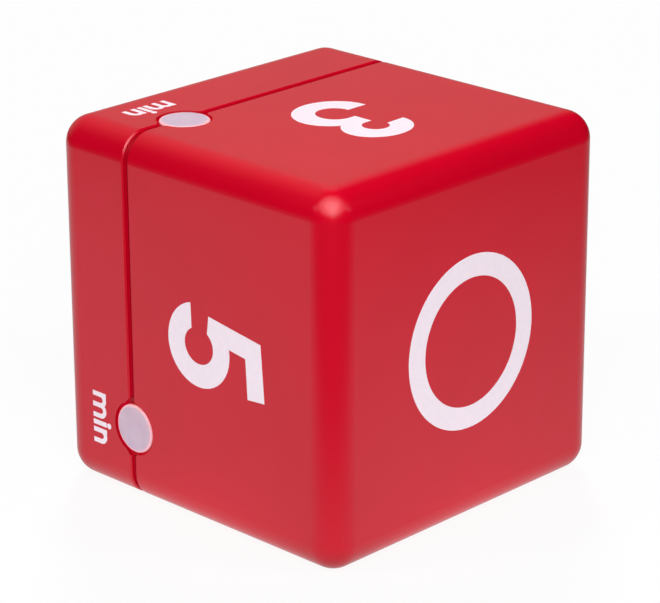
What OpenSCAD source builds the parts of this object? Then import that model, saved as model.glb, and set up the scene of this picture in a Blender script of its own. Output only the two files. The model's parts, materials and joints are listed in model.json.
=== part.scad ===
// A cube timer: turning a face up starts the time that the face shows.
// The cube stands on its lower face, and the origin is at the middle of that face.
// The 0 face looks along +X, the display face along -X, and the four timed faces lie around the X axis.

/* [Housing] */
// Edge length of the cube
side = 60; // [60:0.5:80]
// Radius of the cube's edges and corners
edge_r = 4.5; // [3.6:0.1:5.2]
// Wall thickness of the housing and the cap
wall = 2; // [1.8:0.1:2.4]
// Width of the open groove between the housing and the cap
seam_gap = 0.95; // [0.6:0.05:1.2]
// Depth of that groove
seam_depth = 0.8; // [0.6:0.1:1.2]
// Bevel on the two lips of the groove
seam_bevel = 0.25; // [0.1:0.05:0.4]

/* [Tongue and snap hooks] */
// Thickness of the tongue that enters the housing
tongue_t = 1.2; // [1:0.1:1.6]
// Reach of the tongue past the housing's rim
tongue_depth = 3.6; // [3.4:0.1:6]
// Gap between the tongue and the housing
tongue_gap = 0.2; // [0.1:0.05:0.3]
// Width of each snap hook
hook_w = 10; // [6:0.5:14]
// Height of each snap hook
hook_h = 0.8; // [0.5:0.1:1]

/* [Light lenses] */
// Diameter of a lens
lens_d = 8; // [6:0.1:9]
// Distance of a lens from the middle line of its face
lens_off = 17.8; // [16:0.1:19]
// Shift of the lenses from the groove's middle towards the housing
lens_shift = 0.5; // [0:0.05:0.8]
// Width of the flange around a lens, inside the wall
lens_flange = 1.2; // [0.8:0.1:1.6]
// Thickness of that flange
flange_t = 1; // [0.8:0.1:1.2]
// Rounding of a lens's outer edge
lens_round = 0.4; // [0.2:0.1:0.6]
// Gap between a lens and its notch in the housing
lens_gap_housing = 0.3; // [0.1:0.05:0.4]
// Gap between a lens and its notch in the cap
lens_gap_cap = 0.4; // [0.1:0.05:0.5]
// Bevel where a lens notch meets the groove
notch_bevel = 0.6; // [0.3:0.1:0.9]

/* [Battery bay] */
// Diameter of a cell
cell_d = 10.5; // [9.8:0.1:10.8]
// Length of a cell with its button
cell_len = 44.5; // [43:0.1:45]
// Gap between the two cells
cell_gap = 0.6; // [0.4:0.1:1]
// Gap between the cells and the bay's long walls
cell_clear = 0.3; // [0.2:0.1:0.5]
// Wall thickness of the bay
bay_wall = 1.2; // [1:0.1:1.5]
// Thickness of a contact plate
plate_t = 0.4; // [0.3:0.05:0.5]
// Width of a contact plate
plate_w = 8; // [6:0.1:9]
// Diameter of the spring wire
wire_d = 0.5; // [0.4:0.05:0.55]
// Length of a battery spring pressed by its cell
spring_len = 4.6; // [4.3:0.1:5]
// Curls of a battery spring
spring_turns = 4; // [3:1:4]

/* [Battery door] */
// Thickness of the door
door_t = 1.4; // [1.2:0.05:1.55]
// Gap around the door
door_gap = 0.25; // [0.2:0.05:0.35]
// Width of the ledge that the door rests on
ledge_w = 0.8; // [0.6:0.05:0.9]
// Width of each of the two tabs at the door's upper edge
tab_w = 6; // [4:0.5:9]
// Width of the latch at the door's lower edge
latch_w = 10; // [7:0.5:14]

/* [Display] */
// Width of the display glass
lcd_w = 33; // [29:0.5:37]
// Height of the display glass
lcd_h = 17; // [15:0.5:19]
// Thickness of each of the two glasses
glass_t = 0.9; // [0.7:0.05:1.1]
// Width of the opening in front of the display
window_w = 28; // [24:0.5:30]
// Height of the opening in front of the display
window_h = 12; // [10:0.5:13]
// Thickness of the clear window
window_t = 1; // [0.8:0.1:1.2]
// Shift of the display from the middle of its face
display_y = -1.5; // [-3:0.1:0]

/* [Circuit board] */
// Thickness of the board
board_t = 1.2; // [0.8:0.1:1.6]
// Height of a light on the board
led_h = 1.7; // [1:0.1:2]
// Width of a light
led_w = 3; // [2:0.1:4]
// Diameter of a screw boss
boss_d = 4; // [3.6:0.1:4.2]
// Thread diameter of a board screw
screw_d = 2; // [1.6:0.1:2.2]
// Head diameter of a board screw
screw_head_d = 3.6; // [3:0.1:4]

/* [Switch and sensor] */
// Travel of the alarm switch
switch_travel = 2; // [1.5:0.1:2.5]
// Length of the switch's finger piece
knob_l = 4; // [3:0.1:5]
// Width of the switch's finger piece
knob_w = 3; // [2.4:0.1:3.6]
// Diameter of the tilt sensor's ball
ball_d = 4; // [3:0.1:5]
// Free travel of that ball
ball_travel = 2; // [1:0.1:3]
// Diameter of the buzzer
buzzer_d = 12; // [9:0.5:13]
// Height of the buzzer
buzzer_h = 6.5; // [5:0.5:8]

/* [Hidden] */
$fn = 64;

// Small clearances, and the overcut that keeps cuts clean
cut = 1;
run_gap = 0.3;
seat_gap = 0.1;
touch_gap = 0.05;

// The cube about its middle
half = side / 2;
inner = half - wall;
inner_r = edge_r - wall;
flat = half - edge_r;

// Depth of the cells, the board and the seam, from the display face inwards
cell_front_gap = 0.4;
cell_back_gap = 0.2;
board_gap = 0.3;
cell_x = -inner + cell_front_gap + cell_d / 2;
bay_floor = cell_x + cell_d / 2 + cell_back_gap;
bay_back = bay_floor + bay_wall;
board_x0 = bay_back + board_gap;
board_x1 = board_x0 + board_t;
lens_x = board_x1 + led_h / 2;
seam_x = lens_x - lens_shift;
housing_rim = seam_x + seam_gap / 2;
cap_rim = seam_x - seam_gap / 2;

// Tongue and hooks
tongue_out = inner - tongue_gap;
tongue_in = tongue_out - tongue_t;
tongue_root = 4;
tongue_end = housing_rim + tongue_depth;
tongue_out_r = max(inner_r - tongue_gap, 0.6);
tongue_in_r = max(tongue_out_r - tongue_t, 0.4);
hook_set = 1.2;
hook_x = housing_rim + hook_set;
hook_land = 0.6;
hook_len = 2;
hook_top = tongue_out + hook_h;

// Lenses
lens_r = lens_d / 2;
flange_r = lens_r + lens_flange;
lens_stem_r = 2.5;
lens_sunk = 0.05;

// Bay, cells and contacts, with heights counted from the cube's middle
bay_edge = 0.3;
bay_lo = -flat + bay_edge;
bay_hi = bay_lo + 2 * cell_d + cell_gap + 2 * cell_clear;
bay_mid = (bay_lo + bay_hi) / 2;
bay_half = plate_t + touch_gap + (cell_len + spring_len) / 2;
upper_z = bay_mid + (cell_d + cell_gap) / 2;
lower_z = bay_mid - (cell_d + cell_gap) / 2;
plate_h = 9;
tail_w = 2;
tail_out = 0.6;
button_d = 3.8;
button_h = 1;
cell_round = 0.6;
spring_foot_r = 3.4;
spring_tip_r = 2.2;

// Door, its seat and its turning line along the upper edge
door_seat = 0.1;
door_over = 0.2;
seat_short = 0.7;
seat_half = bay_half - seat_short;
seat_hi = bay_hi + door_over;
seat_lo = bay_lo - door_over;
seat_x = -half + door_t + door_seat;
end_ledge = 1.5;
mouth_half = seat_half - end_ledge;
mouth_hi = seat_hi - ledge_w;
mouth_lo = seat_lo + ledge_w;
door_in = -half + door_t;
pivot_x = -half + door_t / 2;
pivot_z = seat_hi - door_gap - door_t / 2;
tab_y = 14;
tab_gap = 0.4;
tab_depth = 0.9;
tab_front = -inner + tab_gap;
tab_back = tab_front + tab_depth;
tab_t = 1;
tab_rise = 0.9;
latch_t = 0.7;
latch_depth = 1.4;
latch_in = -inner + latch_depth;
latch_gap = 0.45;
nose_h = 0.55;

// Display stack
lcd_clear = 0.2;
frame_wall = 1;
frame_w = lcd_w + 2 * (lcd_clear + frame_wall);
frame_h = lcd_h + 2 * (lcd_clear + frame_wall);
frame_gap = 2.9;
lcd_z = bay_hi + bay_wall + frame_gap + frame_h / 2;
lcd_x = -inner + seat_gap;
lcd_ledge = 1.3;
shelf_w = 2;
shelf_t = 1.2;
window_lip = 1.5;
window_sunk = 0.2;
window_gap = 0.15;
pin_count = 12;
pin_pitch = 2.54;
pin_w = 0.5;
pin_t = 0.4;

// Board and what it carries, placed by [Y, Z] about the cube's middle
board_clear = 0.4;
board_half = tongue_in - board_clear;
led_depth = 1.8;
screw_len = 3.8;
screw_head_h = 1.3;
screw_clear = 0.2;
knob_side_over = 1.5;
knob_end_over = 2;
knob_plate_w = knob_w + 2 * knob_side_over;
knob_plate_l = knob_l + switch_travel + 2 * knob_end_over;
knob_frame_gap = 1.5;
switch_y = display_y + frame_w / 2 + knob_frame_gap + knob_plate_w / 2;
switch_rest_z = lcd_z - switch_travel / 2;
boss_gap = 0.5;
boss_y = frame_w / 2 - display_y + boss_gap + boss_d / 2;
boss_z = max(lcd_z + (knob_plate_l + switch_travel) / 2 + boss_gap + boss_d / 2,
  lens_off + (led_w + screw_head_d) / 2 + board_clear);
valley_y = 14;
boss_places = [[-boss_y, boss_z], [boss_y, boss_z]];
valley_places = [[-valley_y, bay_mid], [valley_y, bay_mid]];
valley_reach = cell_x + sqrt(pow(cell_d / 2, 2) - pow((cell_d + cell_gap - boss_d) / 2, 2)) + cell_clear;
chip_at = [-13, 5];
chip_r = 5.5;
chip_h = 1.6;
crystal_at = [12, 3];
crystal_d = 2;
crystal_l = 6;
capacitor_at = [11, 13];
capacitor_d = 5;
capacitor_h = 7;
sensor_at = [0, 2];
sensor_wall = 1.2;
sensor_floor = 0.8;
sensor_well = ball_d + ball_travel + touch_gap;
sensor_size = sensor_well + 2 * sensor_wall;
sensor_h = sensor_floor + ball_d + 2 * touch_gap;
sensor_lid_t = 1;
buzzer_at = [0, -14];
buzzer_wall = 0.8;
buzzer_disc_t = 0.3;
buzzer_disc_x = board_x1 + buzzer_h * 0.6;
buzzer_hole_d = 2;

// Switch, from the board towards the display face
switch_body_w = 4;
switch_body_l = 9;
switch_body_h = 3.6;
lever_w = 1.6;
lever_foot = 1.2;
lever_out = 3.5;
lever_top = board_x0 - switch_body_h - lever_out;
stem_w = 3.4;
stem_lap = 2;
stem_end = lever_top + stem_lap;
knob_plate_x = -inner + run_gap;
knob_plate_t = 1.2;
knob_sunk = 0.3;
grip_count = 3;
grip_pitch = 1;
grip_depth = 0.4;

// Shapes and placing

module raised() {
  translate([0, 0, half]) children();
}

// A flat shape in Y and Z, drawn out along X
module along_x(x0, x1) {
  translate([x0, 0, 0]) rotate([90, 0, 90]) linear_extrude(x1 - x0) children();
}

// A flat shape in X and Z, drawn out along Y
module along_y(y0, y1) {
  translate([0, y1, 0]) rotate([90, 0, 0]) linear_extrude(y1 - y0) children();
}

// A block between two opposite corners
module block(low, high) {
  translate(low) cube(high - low);
}

// A round bar along X at [Y, Z]
module bar_x(x0, x1, at, d) {
  translate([x0, at[0], at[1]]) rotate([0, 90, 0]) cylinder(h = x1 - x0, d = d);
}

// Turns what is drawn for the top face onto timed face k: 0 top, 1 front, 2 bottom, 3 back
module on_timed_face(k) {
  rotate([90 * k, 0, 0]) children();
}

module rounded_square(reach, rad) {
  square([2 * reach, 2 * (reach - rad)], center = true);
  square([2 * (reach - rad), 2 * reach], center = true);
  for (sy = [-1, 1], sz = [-1, 1]) translate([sy, sz] * (reach - rad)) circle(rad);
}

// A square bar from x0 to x1 whose edges and far end are rounded
module rounded_end(x0, x1, reach, rad) {
  core = reach - rad;
  along_x(x0, x1 - rad) rounded_square(reach, rad);
  along_x(x0, x1) square(2 * core, center = true);
  for (s = [-1, 1]) {
    translate([x1 - rad, s * core, 0]) cylinder(h = 2 * core, r = rad, center = true);
    translate([x1 - rad, 0, s * core]) rotate([90, 0, 0]) cylinder(h = 2 * core, r = rad, center = true);
  }
  for (sy = [-1, 1], sz = [-1, 1]) translate([x1 - rad, sy * core, sz * core]) sphere(rad);
}

// Cuts the bevel on one lip of the seam; way is 1 for the housing's lip and -1 for the cap's
module lip_bevel(rim, way) {
  over = 0.1;
  low = rim - way * over;
  high = rim + way * (seam_bevel + over);
  for (k = [0:3]) on_timed_face(k) {
    along_y(-flat, flat) polygon([[low, half - seam_bevel - over], [low, half + over], [high, half + over]]);
    translate([0, flat, -flat]) rotate([0, 90, 0]) rotate_extrude(angle = 90)
      polygon([[edge_r - seam_bevel - over, low], [edge_r + over, low], [edge_r + over, high]]);
  }
}

// The round hole that a lens needs in a wall of the top face
module lens_hole(rad, low, high) {
  translate([lens_x, -lens_off, low]) cylinder(h = high - low, r = rad);
}

// Bevels the two corners where a lens notch of the top face meets a lip, above low; way is as for the lip
module notch_corners(rim, way, rad, low) {
  over = 0.2;
  corner = sqrt(pow(rad, 2) - pow(rim - lens_x, 2));
  outer_x = rim - way * over;
  for (s = [-1, 1]) translate([0, -lens_off, low]) linear_extrude(half + cut - low)
    polygon([[outer_x, s * (corner + notch_bevel + over)], [rim + way * 2 * notch_bevel, s * (corner - notch_bevel)],
      [outer_x, s * (corner - notch_bevel)]]);
}

// Housing and cap

module main_housing() {
  color("crimson") raised() difference() {
    rounded_end(housing_rim, half, half, edge_r);
    rounded_end(housing_rim - cut, inner, inner, inner_r);
    lip_bevel(housing_rim, 1);
    for (k = [0:3]) on_timed_face(k) {
      lens_hole(lens_r + lens_gap_housing, tongue_in, half + cut);
      notch_corners(housing_rim, 1, lens_r + lens_gap_housing, tongue_in);
      block([hook_x - run_gap, -hook_w / 2 - run_gap, tongue_in],
        [hook_x + hook_len + run_gap, hook_w / 2 + run_gap, hook_top + run_gap]);
    }
  }
}

module tongue() {
  difference() {
    union() {
      along_x(cap_rim - tongue_root, housing_rim - seat_gap) rounded_square(inner + touch_gap, inner_r);
      along_x(cap_rim - tongue_root, tongue_end) rounded_square(tongue_out, tongue_out_r);
    }
    along_x(cap_rim - tongue_root - cut, tongue_end + cut) rounded_square(tongue_in, tongue_in_r);
    for (k = [0:3]) on_timed_face(k) lens_hole(flange_r + run_gap, tongue_in - touch_gap, half);
  }
  for (k = [0:3]) on_timed_face(k) along_y(-hook_w / 2, hook_w / 2)
    polygon([[hook_x, tongue_in], [hook_x, hook_top], [hook_x + hook_land, hook_top], [hook_x + hook_len, tongue_in]]);
}

// The floor of the open groove, on the cap's rim
module seam_floor() {
  along_x(cap_rim - touch_gap, housing_rim - seat_gap) difference() {
    rounded_square(half - seam_depth, edge_r - seam_depth);
    rounded_square(inner, inner_r);
  }
}

module bay_walls() {
  difference() {
    block([-inner - touch_gap, -bay_half - bay_wall, bay_lo - bay_wall],
      [bay_back, bay_half + bay_wall, bay_hi + bay_wall]);
    block([-half, -bay_half, bay_lo], [bay_floor, bay_half, bay_hi]);
    for (s = [-1, 1]) translate([0, s * tab_y, 0])
      block([-half, -tab_w / 2 - run_gap, bay_mid], [tab_back + run_gap, tab_w / 2 + run_gap, bay_hi + bay_wall + cut]);
  }
  for (at = valley_places) bar_x(valley_reach, board_x0, at, boss_d);
}

module cap_cuts() {
  // Window and its seat
  translate([0, display_y, lcd_z]) {
    along_x(-half - cut, -inner + cut) square([window_w, window_h], center = true);
    along_x(-half - cut, -half + window_sunk + window_t)
      square([window_w, window_h] + [1, 1] * 2 * (window_lip + window_gap), center = true);
  }
  // Slot of the alarm switch
  translate([0, switch_y, lcd_z]) along_x(-half - cut, -inner + cut)
    square([knob_w + 2 * run_gap, knob_l + switch_travel + 2 * run_gap], center = true);
  // Seat and mouth of the battery door
  block([-half - cut, -seat_half, seat_lo], [seat_x, seat_half, seat_hi]);
  block([-half - cut, -mouth_half, mouth_lo], [-inner, mouth_half, mouth_hi]);
  block([-half - cut, -latch_w / 2 - run_gap, bay_lo], [-inner, latch_w / 2 + run_gap, bay_mid]);
  // Screw holes and the slots for the contact tails
  for (at = concat(boss_places, valley_places)) bar_x(valley_reach - cut, board_x0 + cut, at, screw_d + 2 * touch_gap);
  for (z = [upper_z, lower_z])
    block([bay_floor - touch_gap, bay_half - plate_t - seat_gap, z - tail_w / 2 - seat_gap],
      [bay_back + cut, bay_half + seat_gap, z + tail_w / 2 + seat_gap]);
  // Lens notches and the lip
  for (k = [0:3]) on_timed_face(k) {
    lens_hole(lens_r + lens_gap_cap, tongue_in, half + cut);
    notch_corners(cap_rim, -1, lens_r + lens_gap_cap, half - seam_depth);
  }
  lip_bevel(cap_rim, -1);
}

module display_cap() {
  color("firebrick") raised() difference() {
    union() {
      mirror([1, 0, 0]) difference() {
        rounded_end(-cap_rim, half, half, edge_r);
        rounded_end(-cap_rim - cut, inner, inner, inner_r);
      }
      tongue();
      seam_floor();
      bay_walls();
      for (at = boss_places) bar_x(-inner - touch_gap, board_x0, at, boss_d);
    }
    cap_cuts();
  }
}

// Lenses and lights

// A round lens with its inner flange and a short light guide, for timed face k
module light_lens(k) {
  top = half - lens_sunk;
  color("lavender") raised() on_timed_face(k) translate([lens_x, -lens_off, 0]) rotate_extrude() {
    translate([0, board_half + board_clear]) square([lens_stem_r, half - wall - board_half - board_clear]);
    translate([0, inner - flange_t]) square([flange_r, flange_t]);
    translate([0, inner - touch_gap]) square([lens_r, top - lens_round - inner + touch_gap]);
    translate([0, top - lens_round]) square([lens_r - lens_round, lens_round]);
    intersection() {
      translate([lens_r - lens_round, top - lens_round]) circle(lens_round);
      translate([0, top - lens_round]) square([lens_r, lens_round]);
    }
  }
}

module top_light_lens() { light_lens(0); }
module front_light_lens() { light_lens(1); }
module bottom_light_lens() { light_lens(2); }
module back_light_lens() { light_lens(3); }

// A side-looking light at the edge of the board: a white case with a recess in front
module led(k) {
  recess = 0.3;
  color("ivory") raised() on_timed_face(k) translate([board_x1, -lens_off, board_half]) difference() {
    block([0, -led_w / 2, -led_depth], [led_h, led_w / 2, 0]);
    block([recess, recess - led_w / 2, -recess], [led_h - recess, led_w / 2 - recess, cut]);
  }
}

module led_top() { led(0); }
module led_front() { led(1); }
module led_bottom() { led(2); }
module led_back() { led(3); }

// Display

module display_window() {
  color("lightcyan") raised() translate([0, display_y, lcd_z])
    along_x(-half + window_sunk, -half + window_sunk + window_t)
      square([window_w, window_h] + [1, 1] * 2 * window_lip, center = true);
}

module lcd_front_glass() {
  color("darkseagreen") raised() translate([0, display_y, lcd_z])
    along_x(lcd_x, lcd_x + glass_t) square([lcd_w, lcd_h], center = true);
}

module lcd_rear_glass() {
  color("seagreen") raised() translate([0, display_y, lcd_z])
    along_x(lcd_x + glass_t, lcd_x + 2 * glass_t) square([lcd_w, lcd_h - 2 * lcd_ledge], center = true);
}

// The frame stands on the board and carries the glass on a shelf at each end
module lcd_frame() {
  inside = [lcd_w, lcd_h] + [1, 1] * 2 * lcd_clear;
  color("whitesmoke") raised() translate([0, display_y, lcd_z]) {
    along_x(lcd_x, board_x0) difference() {
      square([frame_w, frame_h], center = true);
      square(inside, center = true);
    }
    along_x(lcd_x + 2 * glass_t, lcd_x + 2 * glass_t + shelf_t) difference() {
      square(inside + [1, 1] * touch_gap, center = true);
      square([inside[0] - 2 * shelf_w, frame_h], center = true);
    }
  }
}

module lcd_pins() {
  color("silver") raised() translate([0, display_y, lcd_z])
    for (sz = [-1, 1], i = [0:pin_count - 1])
      translate([0, (i - (pin_count - 1) / 2) * pin_pitch, sz * (lcd_h - lcd_ledge) / 2])
        along_x(lcd_x + glass_t, board_x0) square([pin_w, pin_t], center = true);
}

// Circuit board

module circuit_board() {
  color("darkgreen") raised() difference() {
    along_x(board_x0, board_x1) rounded_square(board_half, tongue_in_r);
    for (at = concat(boss_places, valley_places)) bar_x(board_x0 - cut, board_x1 + cut, at, screw_d + 2 * screw_clear);
    for (z = [upper_z, lower_z])
      block([board_x0 - cut, bay_half - plate_t - seat_gap, z - tail_w / 2 - seat_gap],
        [board_x1 + cut, bay_half + seat_gap, z + tail_w / 2 + seat_gap]);
  }
}

// Four pan-head screws with a cross recess
module board_screws() {
  recess_w = 0.5;
  recess_l = screw_head_d * 0.6;
  color("silver") raised() for (at = concat(boss_places, valley_places)) difference() {
    union() {
      bar_x(board_x1 - screw_len, board_x1 + touch_gap, at, screw_d);
      bar_x(board_x1, board_x1 + screw_head_h, at, screw_head_d);
    }
    translate([0, at[0], at[1]]) along_x(board_x1 + screw_head_h / 2, board_x1 + screw_head_h + cut) {
      square([recess_l, recess_w], center = true);
      square([recess_w, recess_l], center = true);
    }
  }
}

// A domed drop of resin over the bare chip
module timer_chip() {
  dome_r = (pow(chip_r, 2) + pow(chip_h, 2)) / (2 * chip_h);
  color("black") raised() translate([board_x1, chip_at[0], chip_at[1]]) rotate([0, 90, 0]) intersection() {
    translate([0, 0, chip_h - dome_r]) sphere(dome_r);
    cylinder(h = chip_h + cut, r = chip_r + cut);
  }
}

// A can that lies on the board along Z
module crystal() {
  color("silver") raised() translate([board_x1 + crystal_d / 2 + touch_gap, crystal_at[0], crystal_at[1]])
    cylinder(h = crystal_l, d = crystal_d, center = true);
}

module capacitor() {
  groove_d = 0.5;
  groove_x = 1.2;
  color("navy") raised() difference() {
    bar_x(board_x1, board_x1 + capacitor_h, capacitor_at, capacitor_d);
    translate([board_x1 + groove_x, capacitor_at[0], capacitor_at[1]]) rotate([0, 90, 0])
      rotate_extrude() translate([capacitor_d / 2, 0]) circle(d = groove_d);
  }
}

// Tilt sensor: a ball loose in a square well, under a lid

module tilt_sensor_housing() {
  color("dimgray") raised() translate([board_x1, sensor_at[0], sensor_at[1]]) difference() {
    along_x(0, sensor_h) square(sensor_size, center = true);
    along_x(sensor_floor, sensor_h + cut) square(sensor_well, center = true);
  }
}

module tilt_sensor_lid() {
  color("gray") raised() translate([board_x1 + sensor_h, sensor_at[0], sensor_at[1]])
    along_x(0, sensor_lid_t) square(sensor_size, center = true);
}

module tilt_ball() {
  color("gold") raised() translate([board_x1 + sensor_floor + touch_gap + ball_d / 2, sensor_at[0],
    sensor_at[1] - ball_travel / 2]) sphere(d = ball_d);
}

// Buzzer: a cap with a sound hole over a thin metal disc that rests on a step

module buzzer_case() {
  inside_d = buzzer_d - 2 * buzzer_wall;
  step_d = inside_d - 2 * buzzer_wall;
  color("black") raised() difference() {
    bar_x(board_x1, board_x1 + buzzer_h, buzzer_at, buzzer_d);
    bar_x(board_x1 - cut, buzzer_disc_x, buzzer_at, step_d);
    bar_x(buzzer_disc_x, board_x1 + buzzer_h - buzzer_wall, buzzer_at, inside_d);
    bar_x(board_x1, board_x1 + buzzer_h + cut, buzzer_at, buzzer_hole_d);
  }
}

module buzzer_disc() {
  color("goldenrod") raised()
    bar_x(buzzer_disc_x, buzzer_disc_x + buzzer_disc_t, buzzer_at, buzzer_d - 2 * (buzzer_wall + seat_gap));
}

// Alarm switch

module slide_switch_body() {
  slot_l = lever_w + switch_travel + 2 * run_gap;
  color("silver") raised() translate([0, switch_y, lcd_z]) difference() {
    along_x(board_x0 - switch_body_h, board_x0) square([switch_body_w, switch_body_l], center = true);
    along_x(board_x0 - switch_body_h - cut, board_x0 - switch_body_h + lever_foot + run_gap)
      square([lever_w + 2 * run_gap, slot_l], center = true);
  }
}

module slide_switch_actuator() {
  color("black") raised() translate([0, switch_y, switch_rest_z])
    along_x(lever_top, board_x0 - switch_body_h + lever_foot) square(lever_w, center = true);
}

module switch_knob() {
  color("dimgray") raised() translate([0, switch_y, switch_rest_z]) difference() {
    union() {
      along_x(-half + knob_sunk, knob_plate_x + touch_gap) square([knob_w, knob_l], center = true);
      along_x(knob_plate_x, knob_plate_x + knob_plate_t) square([knob_plate_w, knob_plate_l], center = true);
      along_x(knob_plate_x, stem_end) square(stem_w, center = true);
    }
    along_x(lever_top - touch_gap, stem_end + cut) square(lever_w + 2 * touch_gap, center = true);
    for (i = [0:grip_count - 1]) translate([-half + knob_sunk, 0, (i - (grip_count - 1) / 2) * grip_pitch])
      rotate([90, 0, 0]) cylinder(h = knob_w + cut, r = grip_depth, center = true);
  }
}

// Battery bay

// A cell along Y with its button towards way
module cell(z, way) {
  tip = way * (bay_half - plate_t - touch_gap);
  body = cell_len - button_h;
  color("steelblue") raised() translate([cell_x, tip, z]) rotate([90 * way, 0, 0]) rotate_extrude() {
    square([button_d / 2, button_h + touch_gap]);
    translate([0, button_h]) square([cell_d / 2 - cell_round, body]);
    translate([0, button_h + cell_round]) square([cell_d / 2, body - 2 * cell_round]);
    for (y = [button_h + cell_round, cell_len - cell_round]) translate([cell_d / 2 - cell_round, y]) circle(cell_round);
  }
}

module battery_upper() { cell(upper_z, 1); }
module battery_lower() { cell(lower_z, -1); }

// A contact plate at the +Y end, with a tail through the bay's floor to the board
module tailed_contact(z) {
  color("gainsboro") raised() {
    block([cell_x - plate_h / 2, bay_half - plate_t, z - plate_w / 2], [cell_x + plate_h / 2, bay_half, z + plate_w / 2]);
    block([cell_x, bay_half - plate_t, z - tail_w / 2], [board_x1 + tail_out, bay_half, z + tail_w / 2]);
  }
}

module positive_contact() { tailed_contact(upper_z); }
module negative_contact() { tailed_contact(lower_z); }

// The plate at the -Y end joins both cells
module link_contact() {
  color("gainsboro") raised()
    block([cell_x - plate_h / 2, -bay_half, lower_z - plate_w / 2], [cell_x + plate_h / 2, plate_t - bay_half, upper_z + plate_w / 2]);
}

// Centre line of a battery spring after t curls: a cone that narrows from its foot to its tip
function coil_r(t) = spring_foot_r + (spring_tip_r - spring_foot_r) * t / spring_turns;
function coil_point(t) = [coil_r(t) * cos(360 * t), coil_r(t) * sin(360 * t),
  wire_d / 2 + touch_gap + (spring_len - wire_d - 2 * touch_gap) * t / spring_turns];

// The wire's rings, each square to the centre line
coil_rings = 8;
wire_sides = 6;
coil_step = 1 / coil_rings;
coil_last = spring_turns * coil_rings;
coil_line = [for (i = [0:coil_last]) coil_point(i * coil_step)];
function unit(v) = v / norm(v);
function coil_ring(i) = let (
  out = [cos(360 * i * coil_step), sin(360 * i * coil_step), 0],
  along = unit(coil_point((i + 0.1) * coil_step) - coil_point((i - 0.1) * coil_step)),
  side_way = unit(out - along * (out * along)),
  up_way = cross(along, side_way)
) [for (s = [0:wire_sides - 1]) coil_line[i] + wire_d / 2 * (cos(360 * s / wire_sides) * side_way + sin(360 * s / wire_sides) * up_way)];

function near_turns(i, j) = j - i < coil_rings / 2;
coil_gaps = [for (i = [0:coil_last], j = [i + 1:coil_last]) if (!near_turns(i, j)) norm(coil_line[i] - coil_line[j]) - wire_d];
echo(spring_least_gap_mm = min(coil_gaps));

module battery_spring() {
  points = [for (i = [0:coil_last]) each coil_ring(i)];
  sides = [for (i = [0:coil_last - 1], s = [0:wire_sides - 1]) let (
    a = i * wire_sides + s,
    b = i * wire_sides + (s + 1) % wire_sides
  ) each [[a, a + wire_sides, b], [b, a + wire_sides, b + wire_sides]]];
  last = coil_last * wire_sides;
  ends = [for (s = [1:wire_sides - 2]) each [[0, s, s + 1], [last, last + s + 1, last + s]]];
  polyhedron(points, concat(sides, ends));
}

module negative_spring() {
  color("silver") raised() translate([cell_x, bay_half - plate_t, lower_z]) rotate([90, 0, 0]) battery_spring();
}

module link_spring() {
  color("silver") raised() translate([cell_x, plate_t - bay_half, upper_z]) rotate([-90, 0, 0]) battery_spring();
}

// The door turns about its rounded upper edge; two tabs reach behind the wall and a latch holds the lower edge
module battery_door() {
  door_half = seat_half - door_gap;
  thumb_d = 14;
  thumb_depth = 0.5;
  latch_hi = mouth_lo + latch_gap + latch_t;
  color("firebrick") raised() difference() {
    union() {
      block([-half, -door_half, seat_lo + door_gap], [door_in, door_half, pivot_z]);
      translate([pivot_x, 0, pivot_z]) rotate([90, 0, 0]) cylinder(h = 2 * door_half, d = door_t, center = true);
      for (s = [-1, 1]) translate([0, s * tab_y, 0]) {
        block([door_in - touch_gap, -tab_w / 2, mouth_hi - door_gap - tab_t], [tab_back, tab_w / 2, mouth_hi - door_gap]);
        block([tab_front, -tab_w / 2, mouth_hi - door_gap - tab_t], [tab_back, tab_w / 2, mouth_hi + tab_rise]);
      }
      block([door_in - touch_gap, -latch_w / 2, mouth_lo + latch_gap], [latch_in, latch_w / 2, latch_hi]);
      along_y(-latch_w / 2, latch_w / 2)
        polygon([[latch_in, latch_hi], [-inner + run_gap, mouth_lo + latch_gap], [latch_in - latch_t, mouth_lo + latch_gap - nose_h],
          [latch_in, mouth_lo + latch_gap - nose_h / 2]]);
    }
    bar_x(-half - cut, -half + thumb_depth, [0, seat_lo], thumb_d);
  }
}

main_housing();
display_cap();
top_light_lens();
front_light_lens();
bottom_light_lens();
back_light_lens();
display_window();
lcd_front_glass();
lcd_rear_glass();
lcd_frame();
lcd_pins();
circuit_board();
board_screws();
led_top();
led_front();
led_bottom();
led_back();
timer_chip();
crystal();
capacitor();
tilt_sensor_housing();
tilt_sensor_lid();
tilt_ball();
buzzer_case();
buzzer_disc();
slide_switch_body();
slide_switch_actuator();
switch_knob();
battery_door();
battery_upper();
battery_lower();
positive_contact();
negative_contact();
negative_spring();
link_contact();
link_spring();
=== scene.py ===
"""Looks of a red cube timer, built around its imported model.

Lengths are in metres unless a name ends in _MM.
"""
import json
import math

import bmesh
import bpy
from mathutils import Matrix, Vector


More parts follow.
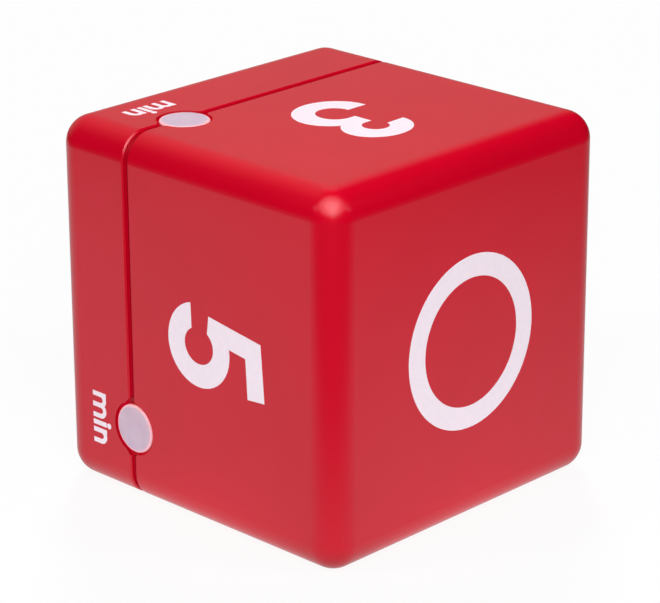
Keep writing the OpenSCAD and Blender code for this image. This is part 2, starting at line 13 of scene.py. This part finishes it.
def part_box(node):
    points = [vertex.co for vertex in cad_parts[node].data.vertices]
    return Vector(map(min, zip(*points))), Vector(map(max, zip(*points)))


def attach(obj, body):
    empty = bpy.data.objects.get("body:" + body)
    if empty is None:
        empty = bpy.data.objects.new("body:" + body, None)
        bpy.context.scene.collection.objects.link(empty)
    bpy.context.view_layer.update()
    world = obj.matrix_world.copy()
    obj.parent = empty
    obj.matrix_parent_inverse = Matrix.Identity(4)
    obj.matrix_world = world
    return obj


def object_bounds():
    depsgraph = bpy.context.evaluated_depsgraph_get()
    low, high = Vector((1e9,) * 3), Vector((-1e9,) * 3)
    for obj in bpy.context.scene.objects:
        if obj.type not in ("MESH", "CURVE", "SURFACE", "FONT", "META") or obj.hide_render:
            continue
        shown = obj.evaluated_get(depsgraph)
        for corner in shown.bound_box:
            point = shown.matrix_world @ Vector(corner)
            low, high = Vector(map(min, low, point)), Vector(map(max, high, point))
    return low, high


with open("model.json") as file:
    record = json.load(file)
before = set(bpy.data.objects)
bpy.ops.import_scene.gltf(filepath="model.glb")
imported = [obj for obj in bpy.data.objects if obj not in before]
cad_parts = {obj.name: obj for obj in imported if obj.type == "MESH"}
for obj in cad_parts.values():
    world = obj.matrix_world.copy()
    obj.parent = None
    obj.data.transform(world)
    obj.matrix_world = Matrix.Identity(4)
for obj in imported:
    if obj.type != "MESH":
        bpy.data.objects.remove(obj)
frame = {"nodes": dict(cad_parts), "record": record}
cad_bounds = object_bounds()
NODES = frame["nodes"]
MM = 0.001

# The cube, from the frame
CUBE_LOW, CUBE_HIGH = (Vector(corner) for corner in cad_bounds)
CENTRE = (CUBE_LOW + CUBE_HIGH) / 2
HALF = (CUBE_HIGH.x - CUBE_LOW.x) / 2

# Faces as (middle, right, up) for someone who reads the print on them
X, Y, Z = Vector((1, 0, 0)), Vector((0, 1, 0)), Vector((0, 0, 1))
FACES = {
    "top": (CENTRE + Z * HALF, -Y, X),
    "front": (CENTRE - Y * HALF, -Z, X),
    "bottom": (CENTRE - Z * HALF, Y, X),
    "back": (CENTRE + Y * HALF, Z, X),
    "zero": (CENTRE + X * HALF, Y, Z),
}
GLASS_LOW, GLASS_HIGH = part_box("lcd_front_glass")
FACES["display"] = (Vector((GLASS_LOW.x, *(GLASS_LOW + GLASS_HIGH).yz / 2)), -Y, Z)


def direction(azimuth, elevation):
    """A unit vector; azimuth 0 points along -Y and a quarter turn along X."""
    flat = math.cos(elevation)
    return Vector((math.sin(azimuth) * flat, -math.cos(azimuth) * flat, math.sin(elevation)))


# Camera at the photograph's viewing angle

IMAGE_W, IMAGE_H = 660, 603
CAMERA_AZIMUTH = math.radians(44.258)
CAMERA_ELEVATION = math.radians(20.428)
CAMERA_DISTANCE = 467.03 * MM
CAMERA_ROLL = math.radians(-0.256)
CAMERA_CLIP = 10 * MM
PX_PER_MM = 6.338
SENSOR_MM = 36
CUBE_MIDDLE_PX = (329.0, 294.0)


def make_camera():
    """A camera aimed at the cube's middle, which lies a little off the middle of the picture."""
    away = direction(CAMERA_AZIMUTH, CAMERA_ELEVATION)
    across = Z.cross(away).normalized()
    turn = Matrix((across, away.cross(across), away)).transposed() @ Matrix.Rotation(CAMERA_ROLL, 3, "Z")
    data = bpy.data.cameras.new("camera")
    data.sensor_width = SENSOR_MM
    data.lens = PX_PER_MM * CAMERA_DISTANCE / MM / IMAGE_W * SENSOR_MM
    data.clip_start = CAMERA_CLIP
    data.shift_x = (IMAGE_W / 2 - CUBE_MIDDLE_PX[0]) / IMAGE_W
    data.shift_y = (CUBE_MIDDLE_PX[1] - IMAGE_H / 2) / IMAGE_W
    camera = bpy.data.objects.new("camera", data)
    bpy.context.scene.collection.objects.link(camera)
    camera.matrix_world = Matrix.Translation(CENTRE + away * CAMERA_DISTANCE) @ turn.to_4x4()
    bpy.context.scene.camera = camera


# Shader nodes; their owner is a material or the world

def set_inputs(node, values):
    """Sets inputs of a node; their names have _ for a space."""
    for name, value in values.items():
        node.inputs[name.replace("_", " ")].default_value = value


def shader_of(material):
    """The material's Principled shader."""
    return material.node_tree.nodes["Principled BSDF"]


def new_material(name, **inputs):
    """A material with one Principled shader."""
    material = bpy.data.materials.new(name)
    material.use_nodes = True
    set_inputs(shader_of(material), inputs)
    return material


def add_node(owner, kind, **inputs):
    """A new node with some of its inputs set."""
    node = owner.node_tree.nodes.new(kind)
    set_inputs(node, inputs)
    return node


def link(owner, source, target):
    """Leads an output to an input."""
    owner.node_tree.links.new(source, target)


def map_range(owner, value, limits, results=(0, 1), interpolation="LINEAR"):
    """Maps a value from the range of limits to that of results and holds it inside."""
    node = add_node(owner, "ShaderNodeMapRange", From_Min=limits[0], From_Max=limits[1],
                    To_Min=results[0], To_Max=results[1])
    node.interpolation_type = interpolation
    link(owner, value, node.inputs["Value"])
    return node.outputs["Result"]


def combine(owner, operation, first, second):
    """Two values joined by a calculation."""
    node = add_node(owner, "ShaderNodeMath")
    node.operation = operation
    link(owner, first, node.inputs[0])
    link(owner, second, node.inputs[1])
    return node.outputs["Value"]


def mix_shaders(owner, share, first, second):
    """Two shaders blended by the share of the second, which another node gives."""
    node = add_node(owner, "ShaderNodeMixShader")
    link(owner, share, node.inputs["Fac"])
    link(owner, first, node.inputs[1])
    link(owner, second, node.inputs[2])
    return node.outputs["Shader"]


def own_place(material):
    """Where a point lies in its piece's own coordinates."""
    return add_node(material, "ShaderNodeTexCoord").outputs["Object"]


# Parts of a material's look

NOISE_DETAIL = 2.0
# The stretches of a noise's range over which tone and roughness drift
TONE_STOPS = (0.35, 0.65)
ROUGHNESS_STOPS = (0.3, 0.7)


def linear(red, green, blue):
    """A colour given in 0 to 255 as a screen shows it."""
    def channel(value):
        share = value / 255
        return share / 12.92 if share <= 0.04045 else ((share + 0.055) / 1.055) ** 2.4
    return channel(red), channel(green), channel(blue)


def place_noise(material, scale):
    """Noise in the piece's own coordinates; scale is in lumps per metre."""
    noise = add_node(material, "ShaderNodeTexNoise", Scale=scale, Detail=NOISE_DETAIL)
    link(material, own_place(material), noise.inputs["Vector"])
    return noise.outputs["Fac"]


def colour_by(material, factor, stops, interpolation="LINEAR"):
    """Base colour from a factor; stops are (position, colour)."""
    ramp = add_node(material, "ShaderNodeValToRGB")
    ramp.color_ramp.interpolation = interpolation
    elements = ramp.color_ramp.elements
    while len(elements) < len(stops):
        elements.new(0.5)
    for element, (position, colour) in zip(elements, stops):
        element.position = position
        element.color = (*colour, 1)
    link(material, factor, ramp.inputs["Fac"])
    link(material, ramp.outputs["Color"], shader_of(material).inputs["Base Color"])


def vary_colour(material, first, second, scale):
    """Base colour that drifts between two close tones."""
    colour_by(material, place_noise(material, scale), list(zip(TONE_STOPS, (first, second))))


def vary_roughness(material, low, high, scale):
    """Roughness that drifts between two values."""
    rough = map_range(material, place_noise(material, scale), ROUGHNESS_STOPS, (low, high))
    link(material, rough, shader_of(material).inputs["Roughness"])


def add_bump(material, scale, depth, strength):
    """Fine relief of the given depth."""
    bump = add_node(material, "ShaderNodeBump", Strength=strength, Distance=depth)
    link(material, place_noise(material, scale), bump.inputs["Height"])
    link(material, bump.outputs["Normal"], shader_of(material).inputs["Normal"])


# Painted shade and painted glow in narrow gaps: how near a wall counts, and the shares of colour and of
# painted glow from a closed place to an open one
CREVICE_REACH = 1.2 * MM
CREVICE_SHADE_STOPS = (0.35, 0.95)
CREVICE_SHADE_SHARES = (0.45, 1)
CREVICE_PAINTED_GLOW_STOPS = (0.25, 0.6)
CREVICE_PAINTED_GLOW_SHARES = (0.68, 0)


def paint_crevice_shade(material):
    """Darkens the colour where walls stand close together: painted shade in narrow gaps.

    In the narrowest gaps a faint painted glow stands in for light that comes through the walls.
    """
    shader = shader_of(material)
    colour = shader.inputs["Base Color"].links[0].from_socket
    openness = add_node(material, "ShaderNodeAmbientOcclusion", Distance=CREVICE_REACH).outputs["AO"]
    # Painted shade: the colour is darker where walls stand close
    share = map_range(material, openness, CREVICE_SHADE_STOPS, CREVICE_SHADE_SHARES)
    # Painted glow in the narrowest gaps
    painted_glow = map_range(material, openness, CREVICE_PAINTED_GLOW_STOPS, CREVICE_PAINTED_GLOW_SHARES)
    shaded = add_node(material, "ShaderNodeVectorMath")
    shaded.operation = "SCALE"
    link(material, colour, shaded.inputs["Vector"])
    link(material, share, shaded.inputs["Scale"])
    link(material, shaded.outputs["Vector"], shader.inputs["Base Color"])
    link(material, colour, shader.inputs["Emission Color"])
    link(material, painted_glow, shader.inputs["Emission Strength"])


# Materials

def red_plastic():
    """Satin moulded plastic with a fine spark-eroded grain."""
    material = new_material("red_plastic", IOR=1.5)
    vary_colour(material, linear(197, 0, 32), linear(200, 0, 34), scale=60)
    vary_roughness(material, 0.24, 0.27, scale=900)
    add_bump(material, scale=7000, depth=0.003 * MM, strength=0.1)
    # Painted shade in narrow gaps, with a painted glow in the narrowest
    paint_crevice_shade(material)
    return material


def white_ink():
    """Screen-printed ink, slightly uneven."""
    material = new_material("white_ink", IOR=1.45, Specular_IOR_Level=1.0)
    vary_colour(material, linear(246, 230, 241), linear(249, 233, 244), scale=900)
    vary_roughness(material, 0.3, 0.36, scale=2500)
    add_bump(material, scale=7000, depth=0.003 * MM, strength=0.4)
    return material


# Distances from a lens's middle where its painted rim highlight starts and where its flange under the wall,
# with painted dark red light and glow, starts
LENS_RIM_HIGHLIGHT_MM = (3.5, 3.65)
LENS_FLANGE_GLOW_MM = (3.94, 4.0)


def from_middle(material, node):
    """The distance from a lens's own axis, along which the lens is thinnest."""
    low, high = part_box(node)
    size = high - low
    flat = [0 if length == min(size) else 1 for length in size]
    value = own_place(material)
    for operation, other in (("SUBTRACT", (low + high) / 2), ("MULTIPLY", flat), ("LENGTH", (0, 0, 0))):
        step = add_node(material, "ShaderNodeVectorMath")
        step.operation = operation
        step.inputs[1].default_value = other
        link(material, value, step.inputs[0])
        value = step.outputs["Value" if operation == "LENGTH" else "Vector"]
    return value


def tint_beyond(material, distance, limits_mm, socket_name, colour):
    """Turns a colour input of the shader to another colour where the distance passes the limits."""
    socket = shader_of(material).inputs[socket_name]
    share = map_range(material, distance, [limit * MM for limit in limits_mm])
    mix = add_node(material, "ShaderNodeMixRGB", Color1=socket.default_value, Color2=(*colour, 1))
    if socket.links:
        link(material, socket.links[0].from_socket, mix.inputs["Color1"])
    link(material, share, mix.inputs["Fac"])
    link(material, mix.outputs["Color"], socket)


def milky_lens(node):
    """Milky plastic that scatters light, with a painted highlight and glow round its rim and painted dark red
    light and glow on its flange.
    """
    material = new_material("lens_" + node, IOR=1.49, Subsurface_Weight=0.35, Subsurface_Scale=1.2 * MM,
                            Emission_Strength=1.0, Emission_Color=(0, 0, 0, 1))
    vary_colour(material, linear(204, 178, 198), linear(210, 185, 203), scale=500)
    distance = from_middle(material, node)
    # Painted highlight and glow round the rim
    tint_beyond(material, distance, LENS_RIM_HIGHLIGHT_MM, "Base Color", linear(240, 190, 198))
    tint_beyond(material, distance, LENS_RIM_HIGHLIGHT_MM, "Emission Color", linear(92, 44, 52))
    # Painted dark red light and glow on the flange seen in the gap
    tint_beyond(material, distance, LENS_FLANGE_GLOW_MM, "Base Color", linear(150, 6, 26))
    tint_beyond(material, distance, LENS_FLANGE_GLOW_MM, "Emission Color", linear(104, 6, 20))
    vary_roughness(material, 0.28, 0.34, scale=1500)
    add_bump(material, scale=5000, depth=0.002 * MM, strength=0.3)
    return material


def clear_window():
    """Clear moulded pane."""
    material = new_material("clear_window", IOR=1.49, Base_Color=(0.97, 0.98, 0.98, 1),
                            Transmission_Weight=1.0)
    vary_roughness(material, 0.02, 0.05, scale=400)
    return material


def display_glass():
    """Grey-green reflective display."""
    material = new_material("display_glass", IOR=1.5, Coat_Weight=0.5, Coat_Roughness=0.08)
    vary_colour(material, linear(150, 160, 140), linear(157, 167, 147), scale=250)
    vary_roughness(material, 0.3, 0.38, scale=3000)
    return material


def plain_plastic(name, tone, shade, rough):
    """Plain moulded plastic of one colour with a faint drift and grain."""
    material = new_material(name, IOR=1.48)
    vary_colour(material, tone, shade, scale=300)
    vary_roughness(material, rough - 0.05, rough + 0.05, scale=1200)
    add_bump(material, scale=6000, depth=0.005 * MM, strength=0.4)
    return material


def bare_metal(name, tone, shade, rough):
    """Plated or bare metal, finely uneven."""
    material = new_material(name, Metallic=1.0)
    vary_colour(material, tone, shade, scale=700)
    vary_roughness(material, rough - 0.08, rough + 0.08, scale=2500)
    add_bump(material, scale=9000, depth=0.002 * MM, strength=0.3)
    return material


def circuit_board_mask():
    """Green solder mask over a faint web of copper tracks."""
    material = new_material("board", IOR=1.5)
    tracks = add_node(material, "ShaderNodeTexBrick", Scale=160.0, Mortar_Size=0.012,
                      Color1=(*linear(20, 92, 48), 1), Color2=(*linear(17, 84, 44), 1),
                      Mortar=(*linear(52, 128, 74), 1))
    turn = add_node(material, "ShaderNodeMapping", Rotation=(0, math.radians(90), 0))
    link(material, own_place(material), turn.inputs["Vector"])
    link(material, turn.outputs["Vector"], tracks.inputs["Vector"])
    link(material, tracks.outputs["Color"], shader_of(material).inputs["Base Color"])
    vary_roughness(material, 0.3, 0.4, scale=800)
    return material


# Bands round a cell as (start, colour), where start is a share of its length from the button end
CELL_METAL = linear(188, 188, 186)
CELL_BANDS = [
    (0.0, CELL_METAL),
    (0.035, linear(176, 112, 62)),
    (0.3, linear(28, 32, 40)),
    (0.975, CELL_METAL),
]


def cell_sleeve(node, button_way):
    """Printed film on a cell: a dark body, a coppery band at the button end and bare metal ends.

    button_way is 1 where the button points along Y and -1 where it points the other way.
    """
    material = new_material("sleeve_" + node, IOR=1.5, Coat_Weight=0.4, Coat_Roughness=0.15)
    low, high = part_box(node)
    ends = (low.y, high.y) if button_way < 0 else (high.y, low.y)
    split = add_node(material, "ShaderNodeSeparateXYZ")
    link(material, own_place(material), split.inputs["Vector"])
    colour_by(material, map_range(material, split.outputs["Y"], ends), CELL_BANDS, "CONSTANT")
    vary_roughness(material, 0.25, 0.32, scale=900)
    return material


# Printed signs, as outlines in millimetres on a face: u to the right, v up

def arc(middle, radii, start, end, steps=24):
    """Points on an ellipse from one angle to another, in degrees."""
    points = []
    for i in range(steps + 1):
        angle = math.radians(start + (end - start) * i / steps)
        points.append((middle[0] + radii[0] * math.cos(angle), middle[1] + radii[1] * math.sin(angle)))
    return points


def circle(middle, radius, steps):
    """Points round a circle, the first one not repeated."""
    return arc(middle, (radius, radius), 0, 360, steps)[:-1]


def three():
    """The 3: two bowls round their holes, with a straight end between the holes."""
    upper, lower = (0.22, 10.62), (0.1, 1.42)
    upper_hole, lower_hole = (0.05, 10.13), (0.12, 1.5)
    return (arc(upper, (5.95, 5.25), 182, -51.9)
            + arc(lower, (6.85, 6.08), 52, 0, 8) + arc(lower, (6.85, 6.5), 0, -181)
            + arc(lower_hole, (2.97, 3.07), 180, 450)
            + [(-1.2, 4.57), (-1.2, 8)]
            + arc(upper_hole, (2.15, 2.13), -90, 168))


def five():
    """The 5: a flag and a bowl round its hole."""
    bowl, hole = (-0.15, 1.78), (-0.2, 1.83)
    return ([(-3.9, 15.1), (5.32, 15.78), (5.6, 12.22), (-0.83, 11.85), (-1.35, 8.32)]
            + arc(bowl, (6.65, 6.67), 99, -90) + arc(bowl, (6.9, 6.67), -90, -166, 12)
            + [(-3.02, 0.29)] + arc(hole, (2.95, 3.1), 210, 504)
            + [(-5.52, 4.04)])


def seven():
    """The 7, of straight strokes."""
    return [(-6.4, 15.6), (6.4, 15.6), (6.4, 12.9), (-0.6, -5.1), (-4.8, -5.1), (1.7, 12.1), (-6.4, 12.1)]


def one():
    """The 1, of straight strokes."""
    return [(-4.6, 12.2), (-0.9, 15.6), (2.5, 15.6), (2.5, -5.1), (-1.4, -5.1), (-1.4, 11.0), (-3.0, 9.6)]


# The unit label beside each lens, from the foot of its first letter
LABEL_AT_MM = {
    "top": (13.41, -22.92),
    "front": (13.81, -22.85),
    "bottom": (13.7, -22.9),
    "back": (13.7, -22.9),
}
LETTER_H_MM = 3.05
STROKE_MM = 0.8
CROWN_MM = 0.77
M_W_MM = 4.45
I_AT_MM = 4.88
I_DOT_UP_MM = 3.64
I_DOT_R_MM = 0.48
N_AT_MM = 6.16
N_W_MM = 2.6
ARCH_STEPS = 10
DOT_STEPS = 20


def arched_letter(left, width, arches):
    """An n or an m: stems joined by round arches."""
    step = (width - STROKE_MM) / arches
    reach = (step + STROKE_MM) / 2
    shoulder = LETTER_H_MM - reach
    middles = [left + reach + i * step for i in range(arches)]
    leaving = math.degrees(math.acos((STROKE_MM - reach) / reach))
    valley = math.degrees(math.acos(step / 2 / reach))
    outline = [(left, 0), (left, LETTER_H_MM), (left + STROKE_MM, LETTER_H_MM)]
    for i, middle in enumerate(middles):
        start = leaving if i == 0 else 180 - valley
        end = 0 if i == arches - 1 else valley
        outline += arc((middle, shoulder), (reach, reach), start, end, ARCH_STEPS)
    for middle in reversed(middles):
        outline += [(middle + reach, 0), (middle + reach - STROKE_MM, 0)]
        outline += arc((middle, shoulder), (reach - STROKE_MM, reach - CROWN_MM), 0, 180, ARCH_STEPS)
    return outline + [(left + STROKE_MM, 0)]


def unit_label(face):
    """The letters of min, with a round dot."""
    left, foot = LABEL_AT_MM[face]
    right = I_AT_MM + STROKE_MM
    letters = [
        arched_letter(0, M_W_MM, 2),
        arched_letter(N_AT_MM, N_W_MM, 1),
        [(I_AT_MM, 0), (I_AT_MM, LETTER_H_MM), (right, LETTER_H_MM), (right, 0)],
        circle((I_AT_MM + STROKE_MM / 2, I_DOT_UP_MM), I_DOT_R_MM, DOT_STEPS),
    ]
    return [[(left + u, foot + v) for u, v in letter] for letter in letters]


# Figures of the display, made of bars with pointed ends

FIGURE_W_MM, FIGURE_H_MM = 3.9, 7.6
FIGURE_SLANT = 0.08
FIGURES_AT_MM = (-9.7, -3.9, 3.9, 9.7)
BAR_W_MM = 0.95
BAR_GAP_MM = 0.12
COLON_AT_MM = (-1.7, 1.7)
COLON_R_MM = 0.55
COLON_STEPS = 16
SHOWN = "0300"
BARS = {"0": "abcdef", "3": "abcdg"}
# Middle of each bar as shares of the figure's size, and whether it stands upright
BAR_PLACES = {
    "a": (0, 0.5, False),
    "b": (0.5, 0.25, True),
    "c": (0.5, -0.25, True),
    "d": (0, -0.5, False),
    "e": (-0.5, -0.25, True),
    "f": (-0.5, 0.25, True),
    "g": (0, 0, False),
}


def bar(figure_at, name):
    """One bar of the figure whose middle is given."""
    across, up, upright = BAR_PLACES[name]
    half = (FIGURE_H_MM / 2 if upright else FIGURE_W_MM) / 2 - BAR_GAP_MM
    side = BAR_W_MM / 2
    outline = [(-half, 0), (-half + side, -side), (half - side, -side),
               (half, 0), (half - side, side), (-half + side, side)]
    if upright:
        outline = [(-v, u) for u, v in outline]
    placed = [(across * FIGURE_W_MM + u, up * FIGURE_H_MM + v) for u, v in outline]
    return [(figure_at + u + FIGURE_SLANT * v, v) for u, v in placed]


def display_bars():
    """Four figures with a colon between the pairs."""
    bars = [bar(at, name) for at, figure in zip(FIGURES_AT_MM, SHOWN) for name in BARS[figure]]
    dots = [circle((FIGURE_SLANT * v, v), COLON_R_MM, COLON_STEPS) for v in COLON_AT_MM]
    return bars + dots


# Plates of print, which reach as far into a face as they stand out of it

INK_T = 0.02 * MM
RING_OUT_MM, RING_IN_MM = 13.94, 10.34
RING_STEPS = 96


def on_face(face, u_mm, v_mm, lift):
    """A point over a face."""
    middle, right, up = FACES[face]
    return middle + right * u_mm * MM + up * v_mm * MM + right.cross(up) * lift


def add_mesh(name, build, material):
    """A new mesh object; build fills its bmesh."""
    mesh = bpy.data.meshes.new(name)
    shape = bmesh.new()
    build(shape)
    bmesh.ops.recalc_face_normals(shape, faces=shape.faces)
    shape.to_mesh(mesh)
    shape.free()
    mesh.materials.append(material)
    piece = bpy.data.objects.new(name, mesh)
    bpy.context.scene.collection.objects.link(piece)
    return piece


def add_loop(shape, face, outline, lift):
    """Vertices round an outline."""
    return [shape.verts.new(on_face(face, u, v, lift)) for u, v in outline]


def join_loops(shape, first, second):
    """Faces between two loops of equal length."""
    for i in range(len(first)):
        j = (i + 1) % len(first)
        shape.faces.new((first[i], first[j], second[j], second[i]))


def add_print(name, build, ink):
    """A printed piece, which stays with the timer."""
    piece = add_mesh(name, build, ink)
    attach(piece, "timer")


def printed(name, face, outlines, ink):
    """A printed sign made of one or more plates."""
    def build(shape):
        for outline in outlines:
            bottom = add_loop(shape, face, outline, -INK_T)
            top = add_loop(shape, face, outline, INK_T)
            shape.faces.new(bottom[::-1])
            shape.faces.new(top)
            join_loops(shape, bottom, top)
        shape.normal_update()
        bmesh.ops.triangulate(shape, faces=[f for f in shape.faces if len(f.verts) > 4])
    add_print(name, build, ink)


def printed_ring(ink):
    """The 0: a flat ring."""
    def build(shape):
        loops = []
        for radius, lift in ((RING_OUT_MM, -INK_T), (RING_OUT_MM, INK_T),
                             (RING_IN_MM, INK_T), (RING_IN_MM, -INK_T)):
            loops.append(add_loop(shape, "zero", circle((0, 0), radius, RING_STEPS), lift))
        for loop, following in zip(loops, loops[1:] + loops[:1]):
            join_loops(shape, loop, following)
    add_print("digit_0", build, ink)


# Stage and light

FLOOR_REACH = 3.0
FLOOR_DROP = 0.05 * MM
TOWARDS = direction(CAMERA_AZIMUTH, 0)
SIDEWAYS = Z.cross(TOWARDS)

# How much of the paper that the camera sees is plain white, whatever light falls on it
PAPER_GLOW = 0.9

# Light that the paper throws back at the cube, and where it fades out: to the left, to the right and in front
PAPER_SPILL = 0.76
PAPER_LEFT = (0.16, 0.32)
PAPER_RIGHT = (0.03, 0.32)
PAPER_FRONT = (0.03, 0.12)
PAPER_FRONT_SHARE = 0.13

# What matt surfaces get of that light close to the cube and further off
PAPER_NEAR = (0.033, 0.044)
PAPER_NEAR_SHARES = (1.6, 0.75)


def fade(owner, place, operation, limits, values, way=(0, 0, 0)):
    """A value that changes smoothly with a place.

    The operation is LENGTH for the distance from the origin and DOT_PRODUCT for that along a way.
    """
    distance = add_node(owner, "ShaderNodeVectorMath")
    distance.operation = operation
    distance.inputs[1].default_value = way
    link(owner, place, distance.inputs[0])
    return map_range(owner, distance.outputs["Value"], limits, values, "SMOOTHSTEP")


def fade_along(owner, place, way, limits, values):
    """A value that changes smoothly with the distance along a direction."""
    return fade(owner, place, "DOT_PRODUCT", limits, values, way)


def seen_directly(owner):
    """1 where the camera looks, also through a clear piece, and 0 elsewhere."""
    rays = add_node(owner, "ShaderNodeLightPath").outputs
    return combine(owner, "MAXIMUM", rays["Is Camera Ray"], rays["Is Transmission Ray"])


def paper_light(material, strength):
    """White light whose strength another node gives."""
    node = add_node(material, "ShaderNodeEmission")
    link(material, strength, node.inputs["Strength"])
    return node.outputs["Emission"]


def paper():
    """Pale paper that takes shadows; most of what is seen of it is plain white."""
    material = new_material("paper", Base_Color=(0.8, 0.8, 0.8, 1), Roughness=0.9)
    place = add_node(material, "ShaderNodeNewGeometry").outputs["Position"]
    front = fade_along(material, place, TOWARDS, PAPER_FRONT, (PAPER_SPILL, PAPER_SPILL * PAPER_FRONT_SHARE))
    left = fade_along(material, place, -SIDEWAYS, PAPER_LEFT, (1, 0))
    right = fade_along(material, place, SIDEWAYS, PAPER_RIGHT, (1, 0))
    beside = combine(material, "MULTIPLY", left, right)
    mirrored = combine(material, "MULTIPLY", front, beside)
    near = fade(material, place, "LENGTH", PAPER_NEAR, PAPER_NEAR_SHARES)
    matt = combine(material, "MULTIPLY", mirrored, near)
    white_share = add_node(material, "ShaderNodeValue").outputs["Value"]
    white_share.default_value = PAPER_GLOW
    white = add_node(material, "ShaderNodeEmission", Strength=1.0).outputs["Emission"]
    shown = mix_shaders(material, white_share, shader_of(material).outputs["BSDF"], white)
    is_diffuse = add_node(material, "ShaderNodeLightPath").outputs["Is Diffuse Ray"]
    spill = mix_shaders(material, is_diffuse, paper_light(material, mirrored), paper_light(material, matt))
    surface = mix_shaders(material, seen_directly(material), spill, shown)
    link(material, surface, material.node_tree.nodes["Material Output"].inputs["Surface"])
    return material


def make_stage():
    """A wide floor just under the cube."""
    def build(shape):
        signs = ((-1, -1), (1, -1), (1, 1), (-1, 1))
        corners = [(x * FLOOR_REACH, y * FLOOR_REACH, -FLOOR_DROP) for x, y in signs]
        shape.faces.new([shape.verts.new(corner) for corner in corners])
    piece = add_mesh("floor", build, paper())


# Oval lamps as (azimuth counted as for the camera, elevation, distance, width, height, watts)
LAMPS = {
    "softbox": (41, 53, 1.0, 1.9, 1.45, 15.5),
    "softbox_core": (42, 52, 1.0, 0.95, 0.72, 4.6),
    "back_fill": (224, 48, 1.2, 0.4, 0.4, 10),
    "left_fill": (-24, 30, 0.8, 0.2, 0.2, 2.5),
    "right_fill": (114, 30, 0.8, 0.2, 0.2, 2.2),
    "front_fill": (48, 28, 0.35, 0.2, 0.2, 0.96),
}
# The lamps that the cube mirrors; the others only light it
MIRRORED = ("softbox", "softbox_core")


def add_lamp(name):
    """One of the lamps, turned to the cube's middle."""
    azimuth, elevation, distance, width, height, power = LAMPS[name]
    data = bpy.data.lights.new(name, "AREA")
    data.shape = "ELLIPSE"
    data.size = width
    data.size_y = height
    data.energy = power
    lamp = bpy.data.objects.new(name, data)
    bpy.context.scene.collection.objects.link(lamp)
    way = direction(math.radians(azimuth), math.radians(elevation))
    lamp.location = CENTRE + way * distance
    lamp.rotation_euler = way.to_track_quat("Z", "Y").to_euler()
    lamp.visible_glossy = name in MIRRORED
    lamp.visible_diffuse = name not in MIRRORED
    lamp.visible_camera = False


# A pale screen behind the cube, a little to its left; it fades into a dark room
SCREEN_COLOUR = (1, 1, 0.9, 1)
SCREEN_LIGHT = 0.345
SCREEN_TURN = math.radians(24)
SCREEN_RISE = math.radians(20)
SCREEN_FULL = math.radians(20)
SCREEN_END = math.radians(51)


def make_world():
    """The screen lights the cube and shows in it; what the camera sees itself is white."""
    world = bpy.data.worlds.new("world")
    bpy.context.scene.world = world
    world.use_nodes = True
    level = Matrix.Rotation(SCREEN_TURN, 3, "Z") @ -TOWARDS
    screen = level * math.cos(SCREEN_RISE) + Z * math.sin(SCREEN_RISE)
    limits = (math.cos(SCREEN_END), math.cos(SCREEN_FULL))
    way = add_node(world, "ShaderNodeTexCoord").outputs["Generated"]
    light = fade_along(world, way, screen, limits, (0, SCREEN_LIGHT))
    room = world.node_tree.nodes["Background"]
    room.inputs["Color"].default_value = SCREEN_COLOUR
    link(world, light, room.inputs["Strength"])
    white = add_node(world, "ShaderNodeBackground", Color=(1, 1, 1, 1)).outputs["Background"]
    surface = mix_shaders(world, seen_directly(world), room.outputs["Background"], white)
    link(world, surface, world.node_tree.nodes["World Output"].inputs["Surface"])


def make_light():
    """The world, the lamps and a plain view of their light."""
    make_world()
    for name in LAMPS:
        add_lamp(name)
    bpy.context.scene.view_settings.view_transform = "Standard"


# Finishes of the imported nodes, by the record's slots

INK = white_ink()
FINISHES = {
    "red_plastic": red_plastic(),
    "clear_window": clear_window(),
    "display_glass": display_glass(),
    "white_plastic": plain_plastic("white_plastic", linear(230, 230, 226), linear(224, 224, 220), 0.5),
    "bright_metal": bare_metal("bright_metal", (0.72, 0.72, 0.73), (0.66, 0.66, 0.68), 0.3),
    "board": circuit_board_mask(),
    "light_case": plain_plastic("light_case", linear(240, 238, 226), linear(234, 232, 218), 0.3),
    "black_plastic": plain_plastic("black_plastic", linear(24, 24, 26), linear(30, 30, 32), 0.45),
    "dark_knob": plain_plastic("dark_knob", linear(46, 46, 49), linear(52, 52, 55), 0.5),
    "blue_sleeve": plain_plastic("blue_sleeve", linear(24, 34, 84), linear(28, 38, 92), 0.3),
    "brass": bare_metal("brass", (0.72, 0.52, 0.22), (0.66, 0.47, 0.2), 0.25),
}
# Finishes that follow the shape of their own node
OWN_FINISHES = {
    "battery_upper": cell_sleeve("battery_upper", 1),
    "battery_lower": cell_sleeve("battery_lower", -1),
}
for side in LABEL_AT_MM:
    OWN_FINISHES[side + "_light_lens"] = milky_lens(side + "_light_lens")


def finish_nodes():
    """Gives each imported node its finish."""
    slots = {part["node"]: part["material_slot"] for part in frame["record"]["subparts"]}
    for name, piece in NODES.items():
        piece.data.materials.clear()
        piece.data.materials.append(OWN_FINISHES.get(name) or FINISHES[slots[name]])


# The digit on each side that has a lens
DIGITS = {"top": ("3", three()), "front": ("5", five()), "bottom": ("7", seven()), "back": ("1", one())}

make_camera()
make_stage()
make_light()
finish_nodes()
printed_ring(INK)
for face, (digit, outline) in DIGITS.items():
    printed("digit_" + digit, face, [outline], INK)
    printed("unit_label_" + face, face, unit_label(face), INK)
printed("display_figures", "display", display_bars(), FINISHES["black_plastic"])
